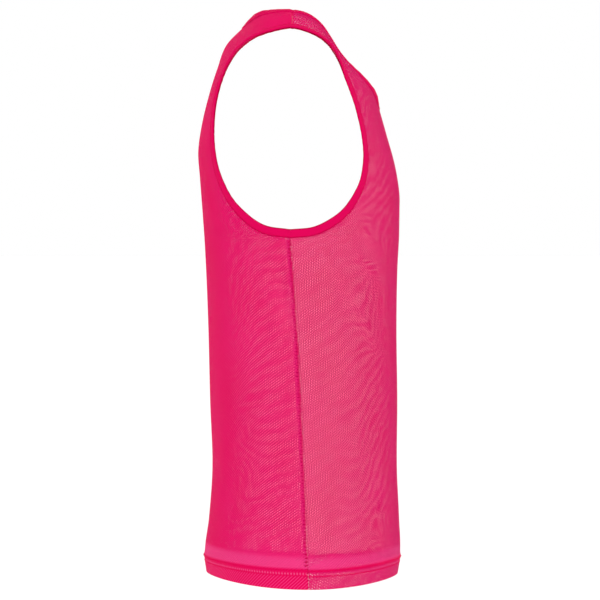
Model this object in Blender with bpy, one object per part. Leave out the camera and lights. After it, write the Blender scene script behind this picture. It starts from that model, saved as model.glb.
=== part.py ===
"""Training bib: a sleeveless mesh tabard in its worn, hollow form, at real size in metres.

+Z is up, the front faces -Y and the wearer's left side is +X. The origin lies midway between the two
shoulder seams, where the wearer's shoulders carry the straps. Each panel is a wall of even thickness
round a mid surface, which runs smoothly through the sections in the tables below. A section goes from
the panel's middle line or neck seam (in) to its side seam or armhole seam (out) as part of a squared
ellipse about x = 0. The bindings continue the panels past their neck and armhole seams.
"""

import math
from collections import namedtuple

import bmesh
import bpy
import numpy as np

MM = 0.001

# Driving dimensions, in millimetres
CLOTH_WALL = 1.0
HEM_WALL = 2.2
HEM_STEP = 0.6
BINDING_WALL = 2.2
BINDING_WIDTH = 9.0
EDGE_ROUNDING = 0.3
SEAM_GAP = 0.3
COLUMNS = 12
ROW_SPACING = 17.0
YOKE_SPACING = 10.5
SECTION_SAMPLES = 300
NORMAL_REACH = 3.0
NORMAL_SHARES = (0.2, 0.8)
ARMHOLE_CENTRE = (150.0, 2.0, -122.0)
NECK_CENTRE = (0.0, -20.0, 0.0)
LEVEL_POWER = 8
FRONT_FULLNESS = 2.15
BACK_FULLNESS = 2.4

# The body tube from the hem up to the underarm: the side seam, and the middle of the front and the back
Body = namedtuple("Body", "name side_x side_y side_z front_y front_z back_y back_z")
BODY = [
    Body("hem edge", 211.0, -19.5, -675.0, -126.0, -664.0, 102.5, -661.6),
    Body("hem top", 212.0, -18.5, -653.0, -129.3, -643.5, 105.0, -643.0),
    Body("hip", 212.0, -16.5, -600.0, -128.5, -597.0, 100.2, -597.0),
    Body("seat", 210.5, -14.0, -540.0, -126.0, -542.0, 96.2, -542.0),
    Body("waist", 207.0, -10.0, -452.0, -126.4, -456.0, 98.8, -456.0),
    Body("ribs", 204.5, -5.0, -357.0, -125.4, -360.0, 101.2, -360.0),
    Body("chest", 205.5, 0.4, -289.0, -126.8, -291.0, 104.0, -291.0),
    Body("underarm", 207.0, 2.5, -259.0, -128.4, -261.7, 105.6, -261.7),
]

# The yokes, from just above the underarm to the shoulder seam. span is the half width that the section
# would have if it went on to the side, and crown is its bulge away from the armhole's centre.
Section = namedtuple("Section", "name in_x in_y in_z out_x out_y out_z span fullness crown")
FRONT_YOKE = [
    Section("underarm", 0.0, -128.8, -244.5, 202.5, -27.5, -255.6, 206.5, 2.15, 0.0),
    Section("pit fold", 0.0, -129.0, -227.5, 188.5, -60.0, -237.2, 206.5, 2.15, 0.0),
    Section("low chest", 0.0, -128.7, -205.8, 168.0, -82.3, -205.4, 207.0, 2.15, 0.0),
    Section("chest", 0.0, -123.4, -173.3, 151.0, -90.0, -173.3, 208.0, 2.15, 0.0),
    Section("high chest", 0.0, -113.6, -137.8, 143.0, -87.8, -139.5, 206.0, 2.15, 0.0),
    Section("neck", 0.0, -103.6, -102.5, 139.0, -79.5, -103.0, 204.0, 2.15, 0.0),
    Section("scoop 1", 21.0, -103.0, -100.7, 138.5, -78.0, -98.0, 203.0, 2.15, 0.0),
    Section("scoop 2", 40.0, -101.2, -94.9, 138.0, -75.7, -91.0, 202.0, 2.1, 0.0),
    Section("scoop 3", 57.0, -96.8, -85.2, 137.6, -72.4, -82.0, 202.0, 2.1, 0.0),
    Section("scoop 4", 67.0, -91.0, -76.9, 137.5, -69.4, -74.5, 203.0, 2.0, 0.1),
    Section("strap 1", 75.6, -83.4, -68.0, 137.8, -66.0, -66.6, 205.0, 2.0, 0.3),
    Section("strap 2", 82.5, -74.4, -58.8, 138.5, -62.3, -58.3, 207.0, 2.0, 0.5),
    Section("strap 3", 88.5, -64.4, -48.3, 139.2, -58.0, -49.4, 209.0, 2.0, 0.7),
    Section("strap 4", 94.8, -53.2, -33.4, 140.2, -51.6, -38.0, 211.0, 2.0, 0.9),
    Section("strap 5", 98.4, -45.6, -21.0, 141.0, -44.4, -27.8, 212.0, 2.0, 1.1),
    Section("strap 6", 101.2, -36.4, -7.8, 141.8, -34.0, -18.4, 213.0, 2.0, 1.4),
    Section("strap 7", 102.8, -20.6, 4.8, 142.0, -18.6, -10.2, 214.0, 2.0, 1.7),
    Section("shoulder", 103.3, 0.2, 10.4, 142.0, 0.0, -5.4, 214.0, 2.0, 1.8),
]
BACK_YOKE = [
    Section("underarm", 0.0, 107.0, -241.9, 201.3, 35.0, -253.8, 207.0, 2.4, 0.0),
    Section("pit fold", 0.0, 108.7, -219.0, 175.0, 68.0, -228.0, 206.0, 2.4, 0.0),
    Section("low blade", 0.0, 111.0, -188.9, 148.5, 88.3, -191.4, 204.0, 2.4, 0.0),
    Section("blade", 0.0, 113.0, -155.2, 131.5, 96.4, -154.8, 200.0, 2.4, 0.0),
    Section("high blade", 0.0, 108.6, -124.3, 127.2, 96.6, -122.7, 198.0, 2.4, 0.0),
    Section("yoke 1", 0.0, 100.6, -91.0, 128.0, 92.2, -90.9, 198.0, 2.4, 0.0),
    Section("yoke 2", 0.0, 90.2, -57.7, 131.0, 82.4, -60.6, 200.0, 2.3, 0.0),
    Section("yoke 3", 0.0, 78.4, -28.0, 134.5, 68.2, -36.9, 204.0, 2.2, 0.0),
    Section("neck", 0.0, 57.4, -6.4, 138.0, 54.5, -24.2, 208.0, 2.1, 0.0),
    Section("nape 1", 26.0, 56.0, -5.2, 139.6, 47.6, -19.5, 210.0, 2.1, 0.2),
    Section("nape 2", 49.0, 52.0, -1.8, 140.6, 40.4, -15.8, 211.0, 2.0, 0.5),
    Section("nape 3", 69.5, 45.9, 2.7, 141.3, 32.6, -12.5, 212.0, 2.0, 0.9),
    Section("nape 4", 87.0, 36.6, 7.0, 141.8, 24.2, -9.7, 213.0, 2.0, 1.3),
    Section("nape 5", 98.5, 21.6, 9.8, 142.0, 13.0, -6.9, 214.0, 2.0, 1.6),
    Section("shoulder", 103.3, 0.2, 10.4, 142.0, 0.0, -5.4, 214.0, 2.0, 1.8),
]

# Soft folds, ridges or (negative depth) troughs, on the wearer's left (side 1) or right (side -1). A
# bearing is the angle round the body from the front's middle (0) over the side (90) to the back's (180).
Fold = namedtuple("Fold", "side from_bearing from_z to_bearing to_z width depth")
FOLDS = [
    Fold(-1, 113.0, -262.0, 92.0, -372.0, 14.0, -4.0),
    Fold(-1, 130.0, -300.0, 126.0, -430.0, 22.0, 2.5),
    Fold(-1, 146.0, -590.0, 112.0, -500.0, 20.0, -2.5),
    Fold(-1, 68.0, -262.0, 42.0, -380.0, 18.0, -3.0),
    Fold(-1, 56.0, -240.0, 28.0, -340.0, 16.0, 2.5),
    Fold(-1, 64.0, -480.0, 72.0, -640.0, 24.0, 3.0),
    Fold(1, 111.0, -262.0, 93.0, -360.0, 15.0, -3.5),
    Fold(1, 136.0, -560.0, 118.0, -440.0, 24.0, 2.5),
    Fold(1, 70.0, -262.0, 46.0, -360.0, 17.0, -3.0),
    Fold(1, 58.0, -470.0, 66.0, -630.0, 26.0, 3.0),
]
FOLD_HALF_WIDTH = 207.0
FOLD_HALF_DEPTH = 117.0
FOLD_MIDDLE_Y = -10.0
FOLD_END_SHARE = 0.12

MESH_PINK = (0.79, 0.035, 0.165)
BINDING_PINK = (0.77, 0.003, 0.105)
MESH_ROUGHNESS = 0.8
BINDING_ROUGHNESS = 0.7
SHARP_ANGLE = math.radians(50)

# Stations closer than this count as the same
SAME = 1e-6


def tangents(values, steps, before, after):
    """The slope at each row: a weighted mean of the slopes on both sides, or one of them at an end.

    before and after are (values, step) of the row that the curve comes from or goes on to."""
    slopes = [(b - a) / step for a, b, step in zip(values, values[1:], steps)]
    lengths = list(steps)
    if before is not None:
        slopes.insert(0, (values[0] - before[0]) / before[1])
        lengths.insert(0, before[1])
    else:
        slopes.insert(0, slopes[0])
        lengths.insert(0, lengths[0])
    if after is not None:
        slopes.append((after[0] - values[-1]) / after[1])
        lengths.append(after[1])
    else:
        slopes.append(slopes[-1])
        lengths.append(lengths[-1])
    return [
        (slopes[i] * lengths[i + 1] + slopes[i + 1] * lengths[i]) / (lengths[i] + lengths[i + 1])
        for i in range(len(values))
    ]


class Panel:
    """The mid surface of half a panel, on the wearer's left.

    A station is the way run from the hem, and a share is the part of a section from its inner edge."""

    def __init__(self, name, yoke, other_yoke, fullness):
        self.name = name
        rows = [self.body_section(row, fullness) for row in BODY] + yoke
        values = np.array([row[1:] for row in rows])
        other = np.array([row[1:] for row in other_yoke])
        self.underarm_row = len(BODY) - 1
        self.neck_row = next(i for i, row in enumerate(rows) if row.name == "neck")
        self.steps = self.step_lengths(values)
        self.stations = np.concatenate([[0.0], np.cumsum(self.steps)])
        past_underarm = self.step_lengths(np.array([values[self.underarm_row], other[0]]))[0]
        past_shoulder = self.step_lengths(other[-2:])[0]
        self.values, other = self.with_turns(values), self.with_turns(other)
        self.set_slopes(other, past_underarm, past_shoulder)

    def body_section(self, row, fullness):
        y, z = (row.front_y, row.front_z) if self.name == "front" else (row.back_y, row.back_z)
        return Section(row.name, 0.0, y, z, row.side_x, row.side_y, row.side_z, row.side_x, fullness, 0.0)

    @staticmethod
    def with_turns(values):
        """The rows with out_x given as the angle round the squared ellipse, 90 degrees at its side."""
        turned = values.copy()
        turned[:, 3] = np.arcsin((values[:, 3] / values[:, 6]) ** (values[:, 7] / 2))
        return turned

    @staticmethod
    def step_lengths(values):
        moved = np.diff(values, axis=0)
        inner = np.linalg.norm(moved[:, 0:3], axis=1)
        outer = np.linalg.norm(moved[:, 3:6], axis=1)
        return (inner + outer) / 2

    def set_slopes(self, other, past_underarm, past_shoulder):
        """Slopes at both ends of each interval. Edges turn at the neck (inner) and underarm (outer)."""
        values, steps = self.values, list(self.steps)
        mirrored = values[self.neck_row + 1].copy()
        mirrored[0] *= -1
        round_side = other[0].copy()
        round_side[3] = math.pi - round_side[3]
        shoulder = (other[-2], past_shoulder)
        smooth = np.array(tangents(values, steps, None, shoulder))
        starts, ends = smooth[:-1].copy(), smooth[1:].copy()
        for columns, corner, before in (
            (slice(0, 3), self.neck_row, (mirrored, steps[self.neck_row])),
            (slice(3, 6), self.underarm_row, (round_side, past_underarm)),
        ):
            low = np.array(tangents(values[: corner + 1], steps[:corner], None, None))
            high = np.array(tangents(values[corner:], steps[corner:], before, shoulder))
            starts[:corner, columns], ends[:corner, columns] = low[:-1, columns], low[1:, columns]
            starts[corner:, columns], ends[corner:, columns] = high[:-1, columns], high[1:, columns]
        self.starts, self.ends = starts, ends

    def row_at(self, station):
        last = len(self.steps) - 1
        i = min(max(int(np.searchsorted(self.stations, station, side="right")) - 1, 0), last)
        step = self.steps[i]
        t = (station - self.stations[i]) / step
        return (
            (2 * t**3 - 3 * t**2 + 1) * self.values[i]
            + (t**3 - 2 * t**2 + t) * step * self.starts[i]
            + (3 * t**2 - 2 * t**3) * self.values[i + 1]
            + (t**3 - t**2) * step * self.ends[i]
        )

    def section(self, station):
        """(points, length so far) along the section at this station, from the inner edge to the outer."""
        in_x, in_y, in_z, end, out_y, out_z, span, fullness, crown = self.row_at(station)
        power = 2 / fullness
        begin = math.asin((max(in_x, 0.0) / span) ** (1 / power))
        end = min(end, math.pi / 2)
        turn = np.linspace(begin, end, SECTION_SAMPLES)
        x = span * np.sin(turn) ** power
        reach = np.abs(np.cos(turn)) ** power
        share = (reach - reach[-1]) / (reach[0] - reach[-1])
        y = out_y + (in_y - out_y) * share
        # A section that goes on to the side seam runs level there, so that front and back meet smoothly.
        z = out_z + (in_z - out_z) * share ** (1 + math.sin(end) ** LEVEL_POWER)
        away = np.array([y.mean() - ARMHOLE_CENTRE[1], z.mean() - ARMHOLE_CENTRE[2]])
        away /= np.linalg.norm(away)
        bulge = crown * np.sin(np.pi * np.linspace(0, 1, SECTION_SAMPLES))
        points = np.stack([x, y + bulge * away[0], z + bulge * away[1]], axis=1)
        run = np.concatenate([[0.0], np.cumsum(np.linalg.norm(np.diff(points, axis=0), axis=1))])
        return points, run

    def plain_point(self, station, shares):
        points, run = self.section(station)
        return np.stack([np.interp(shares * run[-1], run, points[:, k]) for k in range(3)], axis=1)

    def along_section(self, station, shares):
        """Unit vectors along the section, towards its outer end."""
        across = NORMAL_REACH / self.section(station)[1][-1]
        low, high = np.maximum(shares - across, 0), np.minimum(shares + across, 1)
        found = self.plain_point(station, high) - self.plain_point(station, low)
        return found / np.linalg.norm(found, axis=1)[:, None]

    def normals(self, station, shares):
        # The edges run almost along a section at underarm and neck, so the rise is read inside them.
        inside = np.clip(shares, *NORMAL_SHARES)
        below = max(station - NORMAL_REACH, 0.0)
        above = min(station + NORMAL_REACH, self.stations[-1])
        rise = self.plain_point(above, inside) - self.plain_point(below, inside)
        over = self.along_section(station, inside)
        rise -= (rise * over).sum(axis=1)[:, None] * over
        found = np.cross(self.along_section(station, shares), rise)
        found *= 1 if self.name == "front" else -1
        return found / np.linalg.norm(found, axis=1)[:, None]

    @staticmethod
    def fold_height(side, points):
        """How far the folds of one side push these points out of the plain surface."""
        ahead = (FOLD_MIDDLE_Y - points[:, 1]) / FOLD_HALF_DEPTH
        bearing = np.arctan2(points[:, 0] / FOLD_HALF_WIDTH, ahead)
        height = np.zeros(len(points))
        for fold in FOLDS:
            if fold.side != side:
                continue
            ends = np.radians([fold.from_bearing, fold.to_bearing])
            girth = np.hypot(FOLD_HALF_WIDTH * np.cos(ends.mean()), FOLD_HALF_DEPTH * np.sin(ends.mean()))
            start = np.array([girth * ends[0], fold.from_z])
            along = np.array([girth * ends[1], fold.to_z]) - start
            place = np.stack([girth * bearing, points[:, 2]], axis=1) - start
            share = np.clip(place @ along / (along @ along), 0, 1)
            aside = np.linalg.norm(place - share[:, None] * along, axis=1)
            swell = np.sin(np.pi * (FOLD_END_SHARE + (1 - 2 * FOLD_END_SHARE) * share))
            height += fold.depth * swell * np.exp(-((aside / fold.width) ** 2))
        return height

    def strip(self, side, station, shares):
        """(points, normals) of the folded mid surface on this side, -1 being the wearer's right."""
        points = self.plain_point(station, shares)
        normals = self.normals(station, shares)
        points = points + normals * self.fold_height(side, points)[:, None]
        mirror = np.array([side, 1, 1])
        return points * mirror, normals * mirror


def grid_stations(panel):
    """Stations of the mesh's rows: each table row, the hem's step, and even steps between."""
    found = []
    for i, step in enumerate(panel.steps):
        spacing = ROW_SPACING if i < panel.underarm_row else YOKE_SPACING
        count = max(1, round(step / spacing))
        found += [panel.stations[i] + step * k / count for k in range(count)]
    found.append(panel.stations[-1] - SEAM_GAP / 2)
    return sorted(found + [panel.stations[1] + HEM_STEP])


def wall_mesh(name, faces, middle, normals, walls):
    """A closed wall: the faces on both sides of the middle points, joined round every free edge."""
    count = len(middle)
    half = normals * (np.asarray(walls)[:, None] / 2)
    points = np.concatenate([middle + half, middle - half]) * MM
    sides = {}
    for face in faces:
        for a, b in zip(face, face[1:] + face[:1]):
            sides[(a, b)] = sides.get((a, b), 0) + 1
    rim = [(b, a, a + count, b + count) for a, b in sides if (b, a) not in sides]
    inner = [tuple(i + count for i in reversed(face)) for face in faces]
    mesh = bpy.data.meshes.new(name)
    mesh.from_pydata(points.tolist(), [], list(faces) + inner + rim)
    return mesh


def add_object(name, mesh, colour, roughness):
    shape = bmesh.new()
    shape.from_mesh(mesh)
    bmesh.ops.triangulate(shape, faces=shape.faces[:])
    bmesh.ops.recalc_face_normals(shape, faces=shape.faces[:])
    shape.to_mesh(mesh)
    shape.free()
    mesh.shade_smooth()
    mesh.set_sharp_from_angle(angle=SHARP_ANGLE)
    obj = bpy.data.objects.new(name, mesh)
    bpy.context.scene.collection.objects.link(obj)
    material = bpy.data.materials.new(name)
    material.use_nodes = True
    shader = material.node_tree.nodes["Principled BSDF"]
    shader.inputs["Base Color"].default_value = (*colour, 1)
    shader.inputs["Roughness"].default_value = roughness
    shader.inputs["Metallic"].default_value = 0.0
    mesh.materials.append(material)
    return obj


def make_panel(panel):
    """Both halves of a panel as one wall, joined along the middle line up to the neck."""
    stations = grid_stations(panel)
    neck = panel.stations[panel.neck_row] + SAME
    under = panel.stations[panel.underarm_row] + SAME
    middle, normals, walls, faces, index = [], [], [], [], {}
    for side in (1, -1):
        for r, station in enumerate(stations):
            width = panel.section(station)[1][-1]
            outer = 1 - SEAM_GAP / 2 / width if station <= under else 1.0
            points, directions = panel.strip(side, station, np.linspace(0, outer, COLUMNS + 1))
            for c in range(COLUMNS + 1):
                if c == 0 and side == -1 and station <= neck:
                    index[side, r, c] = index[1, r, c]
                    continue
                index[side, r, c] = len(middle)
                middle.append(points[c])
                normals.append(directions[c])
                walls.append(HEM_WALL if station <= panel.stations[1] else CLOTH_WALL)
    for side in (1, -1):
        for r in range(len(stations) - 1):
            for c in range(COLUMNS):
                corners = [(r, c), (r, c + 1), (r + 1, c + 1), (r + 1, c)]
                faces.append(tuple(index[side, row, column] for row, column in corners[::side]))
    mesh = wall_mesh(panel.name, faces, np.array(middle), np.array(normals), walls)
    return add_object(panel.name, mesh, MESH_PINK, MESH_ROUGHNESS)


def edge_line(panel, side, share, first_row):
    """(points, normals) along a seam line from a table row up to the shoulder seam, both ends included."""
    stations = [s for s in grid_stations(panel)[:-1] if s >= panel.stations[first_row] - SAME]
    stations.append(panel.stations[-1])
    parts = [panel.strip(side, station, np.array([share])) for station in stations]
    return np.array([p[0] for p, _ in parts]), np.array([n[0] for _, n in parts])


def closed_loop(*lines):
    """The lines, each (points, normals), joined end to end into one loop with no point twice."""
    points = np.concatenate([line[0][:-1] for line in lines])
    normals = np.concatenate([line[1][:-1] for line in lines])
    return points, normals


def reverse(line):
    return line[0][::-1], line[1][::-1]


def make_binding(name, loop, centre):
    """A flat band with a rounded edge, swept round a seam loop and pointing to the opening's centre."""
    points, normals = loop
    along = np.roll(points, -1, axis=0) - np.roll(points, 1, axis=0)
    along /= np.linalg.norm(along, axis=1)[:, None]
    out = np.cross(along, normals)
    out /= np.linalg.norm(out, axis=1)[:, None]
    if ((centre - points) * out).sum() < 0:
        out = -out
    half, start, end = BINDING_WALL / 2, SEAM_GAP, SEAM_GAP + BINDING_WIDTH
    profile = [
        (start, -half),
        (start, half),
        (end - half, half),
        (end - half * EDGE_ROUNDING, half * (1 - EDGE_ROUNDING)),
        (end, 0.0),
        (end - half * EDGE_ROUNDING, -half * (1 - EDGE_ROUNDING)),
        (end - half, -half),
    ]
    rings = np.stack([points + out * a + normals * b for a, b in profile], axis=1)
    count, sides = len(points), len(profile)
    faces = []
    for r in range(count):
        here, there = r * sides, (r + 1) % count * sides
        for k in range(sides):
            nearby = (k + 1) % sides
            faces.append((here + k, here + nearby, there + nearby, there + k))
    mesh = bpy.data.meshes.new(name)
    mesh.from_pydata((rings.reshape(-1, 3) * MM).tolist(), [], faces)
    return add_object(name, mesh, BINDING_PINK, BINDING_ROUGHNESS)


def make_neck_binding(front, back):
    front_lines = {side: edge_line(front, side, 0.0, front.neck_row) for side in (1, -1)}
    back_lines = {side: edge_line(back, side, 0.0, back.neck_row) for side in (1, -1)}
    loop = closed_loop(front_lines[1], reverse(back_lines[1]), back_lines[-1], reverse(front_lines[-1]))
    return make_binding("neck_binding", loop, np.array(NECK_CENTRE))


def make_armhole_binding(front, back, side):
    front_line = edge_line(front, side, 1.0, front.underarm_row)
    back_line = edge_line(back, side, 1.0, back.underarm_row)
    loop = closed_loop(front_line, reverse(back_line))
    name = "armhole_binding_left" if side == 1 else "armhole_binding_right"
    return make_binding(name, loop, np.array(ARMHOLE_CENTRE) * (side, 1, 1))


def main():
    for old in list(bpy.data.objects):
        bpy.data.objects.remove(old)
    front = Panel("front", FRONT_YOKE, BACK_YOKE, FRONT_FULLNESS)
    back = Panel("back", BACK_YOKE, FRONT_YOKE, BACK_FULLNESS)
    make_panel(front)
    make_panel(back)
    make_neck_binding(front, back)
    for side in (1, -1):
        make_armhole_binding(front, back, side)


main()
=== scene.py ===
"""Looks of the training bib: net panels, bindings, sewing, studio light and the photo's camera.

The cloth repeats the sections of the CAD source, in millimetres and in the same frame, at a finer pitch and
as thin shells. +Z is up, the front faces -Y and the wearer's left side is +X. Meshes are written in metres.
"""

import math
from collections import namedtuple

import bpy
import numpy as np
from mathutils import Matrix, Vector


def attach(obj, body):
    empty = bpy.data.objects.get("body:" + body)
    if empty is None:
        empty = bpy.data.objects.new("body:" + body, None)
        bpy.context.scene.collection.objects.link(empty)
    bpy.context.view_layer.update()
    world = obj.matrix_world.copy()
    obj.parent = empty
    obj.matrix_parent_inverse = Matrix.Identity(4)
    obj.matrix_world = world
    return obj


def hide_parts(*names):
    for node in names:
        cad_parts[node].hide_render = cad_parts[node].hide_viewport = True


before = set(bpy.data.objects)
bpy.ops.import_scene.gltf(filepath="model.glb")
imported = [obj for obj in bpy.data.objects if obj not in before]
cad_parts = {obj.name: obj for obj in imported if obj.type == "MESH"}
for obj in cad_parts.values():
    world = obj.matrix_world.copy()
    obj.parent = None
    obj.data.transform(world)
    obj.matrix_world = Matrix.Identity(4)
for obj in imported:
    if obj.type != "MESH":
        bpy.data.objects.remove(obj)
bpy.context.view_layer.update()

MM = 0.001

# ---------------------------------------------------------------- form, as in the CAD source, in millimetres
SECTION_SAMPLES = 300
NORMAL_REACH = 3.0
NORMAL_SHARES = (0.2, 0.8)
ARMHOLE_CENTRE = (150.0, 2.0, -122.0)
NECK_CENTRE = (0.0, -20.0, 0.0)
LEVEL_POWER = 8
FRONT_FULLNESS = 2.15
BACK_FULLNESS = 2.4

# The body tube from the hem up to the underarm: the side seam, and the middle of the front and the back
Body = namedtuple("Body", "name side_x side_y side_z front_y front_z back_y back_z")
BODY = [
    Body("hem edge", 211.0, -19.5, -675.0, -126.0, -664.0, 102.5, -661.6),
    Body("hem top", 212.0, -18.5, -653.0, -129.3, -643.5, 105.0, -643.0),
    Body("hip", 212.0, -16.5, -600.0, -128.5, -597.0, 100.2, -597.0),
    Body("seat", 210.5, -14.0, -540.0, -126.0, -542.0, 96.2, -542.0),
    Body("waist", 207.0, -10.0, -452.0, -126.4, -456.0, 98.8, -456.0),
    Body("ribs", 204.5, -5.0, -357.0, -125.4, -360.0, 101.2, -360.0),
    Body("chest", 205.5, 0.4, -289.0, -126.8, -291.0, 104.0, -291.0),
    Body("underarm", 207.0, 2.5, -259.0, -128.4, -261.7, 105.6, -261.7),
]

# The yokes, from just above the underarm to the shoulder seam. span is the half width that the section
# would have if it went on to the side, and crown is its bulge away from the armhole's centre.
Section = namedtuple("Section", "name in_x in_y in_z out_x out_y out_z span fullness crown")
FRONT_YOKE = [
    Section("underarm", 0.0, -128.8, -244.5, 202.5, -27.5, -255.6, 206.5, 2.15, 0.0),
    Section("pit fold", 0.0, -129.0, -227.5, 188.5, -60.0, -237.2, 206.5, 2.15, 0.0),
    Section("low chest", 0.0, -128.7, -205.8, 168.0, -82.3, -205.4, 207.0, 2.15, 0.0),
    Section("chest", 0.0, -123.4, -173.3, 151.0, -90.0, -173.3, 208.0, 2.15, 0.0),
    Section("high chest", 0.0, -113.6, -137.8, 143.0, -87.8, -139.5, 206.0, 2.15, 0.0),
    Section("neck", 0.0, -103.6, -102.5, 139.0, -79.5, -103.0, 204.0, 2.15, 0.0),
    Section("scoop 1", 21.0, -103.0, -100.7, 138.5, -78.0, -98.0, 203.0, 2.15, 0.0),
    Section("scoop 2", 40.0, -101.2, -94.9, 138.0, -75.7, -91.0, 202.0, 2.1, 0.0),
    Section("scoop 3", 57.0, -96.8, -85.2, 137.6, -72.4, -82.0, 202.0, 2.1, 0.0),
    Section("scoop 4", 67.0, -91.0, -76.9, 137.5, -69.4, -74.5, 203.0, 2.0, 0.1),
    Section("strap 1", 75.6, -83.4, -68.0, 137.8, -66.0, -66.6, 205.0, 2.0, 0.3),
    Section("strap 2", 82.5, -74.4, -58.8, 138.5, -62.3, -58.3, 207.0, 2.0, 0.5),
    Section("strap 3", 88.5, -64.4, -48.3, 139.2, -58.0, -49.4, 209.0, 2.0, 0.7),
    Section("strap 4", 94.8, -53.2, -33.4, 140.2, -51.6, -38.0, 211.0, 2.0, 0.9),
    Section("strap 5", 98.4, -45.6, -21.0, 141.0, -44.4, -27.8, 212.0, 2.0, 1.1),
    Section("strap 6", 101.2, -36.4, -7.8, 141.8, -34.0, -18.4, 213.0, 2.0, 1.4),
    Section("strap 7", 102.8, -20.6, 4.8, 142.0, -18.6, -10.2, 214.0, 2.0, 1.7),
    Section("shoulder", 103.3, 0.2, 10.4, 142.0, 0.0, -5.4, 214.0, 2.0, 1.8),
]
BACK_YOKE = [
    Section("underarm", 0.0, 107.0, -241.9, 201.3, 35.0, -253.8, 207.0, 2.4, 0.0),
    Section("pit fold", 0.0, 108.7, -219.0, 175.0, 68.0, -228.0, 206.0, 2.4, 0.0),
    Section("low blade", 0.0, 111.0, -188.9, 148.5, 88.3, -191.4, 204.0, 2.4, 0.0),
    Section("blade", 0.0, 113.0, -155.2, 131.5, 96.4, -154.8, 200.0, 2.4, 0.0),
    Section("high blade", 0.0, 108.6, -124.3, 127.2, 96.6, -122.7, 198.0, 2.4, 0.0),
    Section("yoke 1", 0.0, 100.6, -91.0, 128.0, 92.2, -90.9, 198.0, 2.4, 0.0),
    Section("yoke 2", 0.0, 90.2, -57.7, 131.0, 82.4, -60.6, 200.0, 2.3, 0.0),
    Section("yoke 3", 0.0, 78.4, -28.0, 134.5, 68.2, -36.9, 204.0, 2.2, 0.0),
    Section("neck", 0.0, 57.4, -6.4, 138.0, 54.5, -24.2, 208.0, 2.1, 0.0),
    Section("nape 1", 26.0, 56.0, -5.2, 139.6, 47.6, -19.5, 210.0, 2.1, 0.2),
    Section("nape 2", 49.0, 52.0, -1.8, 140.6, 40.4, -15.8, 211.0, 2.0, 0.5),
    Section("nape 3", 69.5, 45.9, 2.7, 141.3, 32.6, -12.5, 212.0, 2.0, 0.9),
    Section("nape 4", 87.0, 36.6, 7.0, 141.8, 24.2, -9.7, 213.0, 2.0, 1.3),
    Section("nape 5", 98.5, 21.6, 9.8, 142.0, 13.0, -6.9, 214.0, 2.0, 1.6),
    Section("shoulder", 103.3, 0.2, 10.4, 142.0, 0.0, -5.4, 214.0, 2.0, 1.8),
]

# Soft folds, ridges or (negative depth) troughs, on the wearer's left (side 1) or right (side -1). A
# bearing is the angle round the body from the front's middle (0) over the side (90) to the back's (180).
Fold = namedtuple("Fold", "side from_bearing from_z to_bearing to_z width depth")
FOLDS = [
    Fold(-1, 113.0, -262.0, 92.0, -372.0, 14.0, -4.0),
    Fold(-1, 130.0, -300.0, 126.0, -430.0, 22.0, 2.5),
    Fold(-1, 146.0, -590.0, 112.0, -500.0, 20.0, -2.5),
    Fold(-1, 68.0, -262.0, 42.0, -380.0, 18.0, -3.0),
    Fold(-1, 56.0, -240.0, 28.0, -340.0, 16.0, 2.5),
    Fold(-1, 64.0, -480.0, 72.0, -640.0, 24.0, 3.0),
    Fold(1, 111.0, -262.0, 93.0, -360.0, 15.0, -3.5),
    Fold(1, 136.0, -560.0, 118.0, -440.0, 24.0, 2.5),
    Fold(1, 70.0, -262.0, 46.0, -360.0, 17.0, -3.0),
    Fold(1, 58.0, -470.0, 66.0, -630.0, 26.0, 3.0),
]
# Smaller creases, which only the visible cloth has
CREASES = [
    Fold(-1, 104.0, -262.0, 99.0, -330.0, 6.0, -1.4),
    Fold(-1, 124.0, -252.0, 116.0, -318.0, 9.0, -1.2),
    Fold(-1, 150.0, -500.0, 168.0, -492.0, 7.0, -0.9),
    Fold(-1, 148.0, -540.0, 172.0, -534.0, 8.0, -0.9),
    Fold(-1, 120.0, -470.0, 138.0, -520.0, 9.0, -1.0),
    Fold(-1, 78.0, -268.0, 60.0, -330.0, 8.0, -1.1),
    Fold(-1, 62.0, -262.0, 36.0, -316.0, 8.0, -1.2),
    Fold(-1, 48.0, -250.0, 22.0, -300.0, 9.0, -1.0),
    Fold(-1, 30.0, -300.0, 24.0, -400.0, 12.0, -1.2),
    Fold(-1, 82.0, -440.0, 60.0, -500.0, 12.0, -0.9),
    Fold(-1, 76.0, -560.0, 80.0, -640.0, 9.0, -1.0),
    Fold(-1, 100.0, -560.0, 104.0, -645.0, 10.0, -1.1),
    Fold(-1, 40.0, -590.0, 34.0, -646.0, 10.0, -1.0),
    Fold(-1, 152.0, -180.0, 140.0, -250.0, 11.0, -1.1),
    Fold(-1, 28.0, -120.0, 44.0, -180.0, 12.0, -1.0),
    Fold(1, 103.0, -262.0, 98.0, -322.0, 6.0, -1.3),
    Fold(1, 126.0, -256.0, 119.0, -330.0, 10.0, -1.2),
    Fold(1, 146.0, -480.0, 166.0, -488.0, 8.0, -0.9),
    Fold(1, 116.0, -450.0, 132.0, -505.0, 10.0, -1.0),
    Fold(1, 80.0, -270.0, 62.0, -340.0, 8.0, -1.1),
    Fold(1, 60.0, -258.0, 34.0, -308.0, 9.0, -1.2),
    Fold(1, 32.0, -320.0, 27.0, -420.0, 12.0, -1.1),
    Fold(1, 84.0, -430.0, 64.0, -492.0, 12.0, -0.9),
    Fold(1, 74.0, -570.0, 77.0, -642.0, 9.0, -1.0),
    Fold(1, 102.0, -566.0, 107.0, -644.0, 10.0, -1.1),
    Fold(1, 150.0, -190.0, 138.0, -248.0, 11.0, -1.1),
    Fold(1, 30.0, -124.0, 46.0, -186.0, 12.0, -1.0),
]
FOLD_HALF_WIDTH = 207.0
FOLD_HALF_DEPTH = 117.0
FOLD_MIDDLE_Y = -10.0
FOLD_END_SHARE = 0.12

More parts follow.
